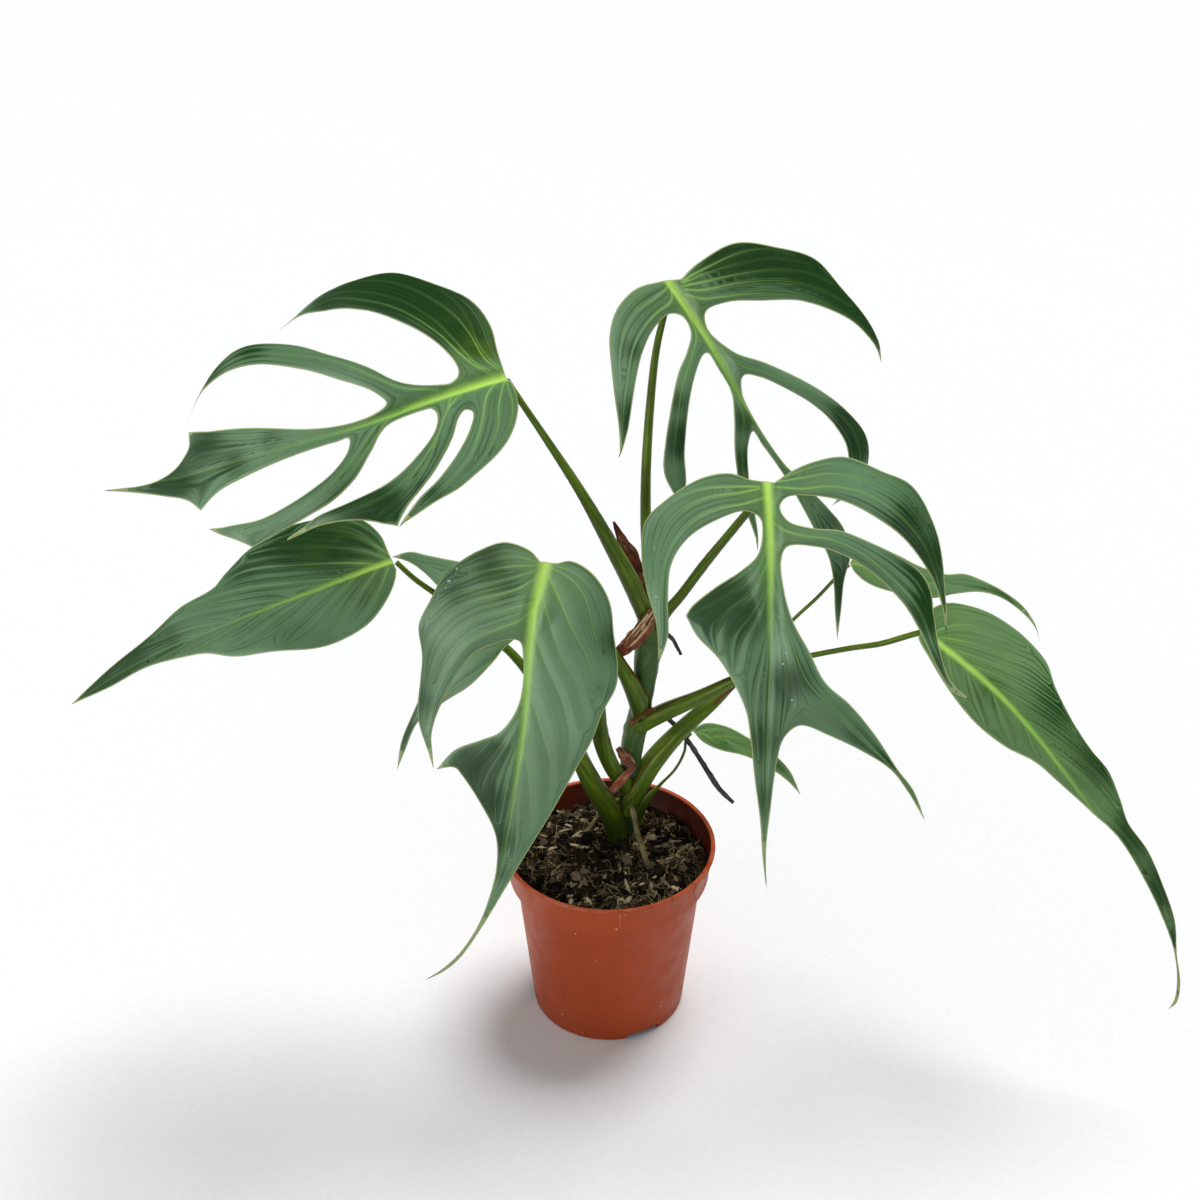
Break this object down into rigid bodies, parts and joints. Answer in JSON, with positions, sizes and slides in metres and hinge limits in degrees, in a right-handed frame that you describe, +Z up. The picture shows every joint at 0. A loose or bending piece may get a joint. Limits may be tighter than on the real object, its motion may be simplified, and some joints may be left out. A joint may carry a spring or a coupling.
{
  "type": "potted split-leaf monstera plant",
  "caption": "Potted climbing house plant with long-tipped, deeply cut leaves on arching petioles from one short stem, rooted in dark soil in a plain round nursery pot.",
  "frame": {"origin": "centre of the pot's flat underside, on the surface that it stands on", "axes": "+Z up along the pot's axis; +X along the widest spread of the leaves; the side that shows best faces -Y"},
  "size_m": [0.5793, 0.2151, 0.4437],
  "materials": {
    "pot": "satin moulded terracotta-brown plastic, lightly scuffed",
    "soil": "dark moist peat with crumbs, tan fibres and straw",
    "leaf": "satin blue-grey green blade with yellow-green midrib and fine pale margin",
    "petiole": "smooth olive green stalk",
    "stem": "smooth grey-green stem with leaf scars",
    "husk": "dry torn reddish-brown sheath with tan fibres",
    "root": "matt brown aerial root"
  },
  "bodies": {
    "root": {"pot": "pot", "soil": "soil", "stem": "stem", "blade_upper_left": "leaf", "blade_back_right": "leaf", "blade_front_right": "leaf", "blade_front_left": "leaf", "blade_left": "leaf", "blade_behind_left": "leaf", "blade_far_right": "leaf", "blade_small_right": "leaf", "blade_small_low": "leaf", "petiole_upper_left": "petiole", "petiole_back_right": "petiole", "petiole_front_right": "petiole", "petiole_front_left": "petiole", "petiole_left": "petiole", "petiole_behind_left": "petiole", "petiole_far_right": "petiole", "petiole_small_right": "petiole", "petiole_small_low": "petiole", "root_right": "root", "root_stub": "root", "root_front": "root", "root_left": "root", "husk_top": "husk", "husk_torn": "husk", "husk_ring": "husk", "husk_low": "husk", "husk_mid": "husk", "husk_strand": "husk"}
  },
  "joints": []
}
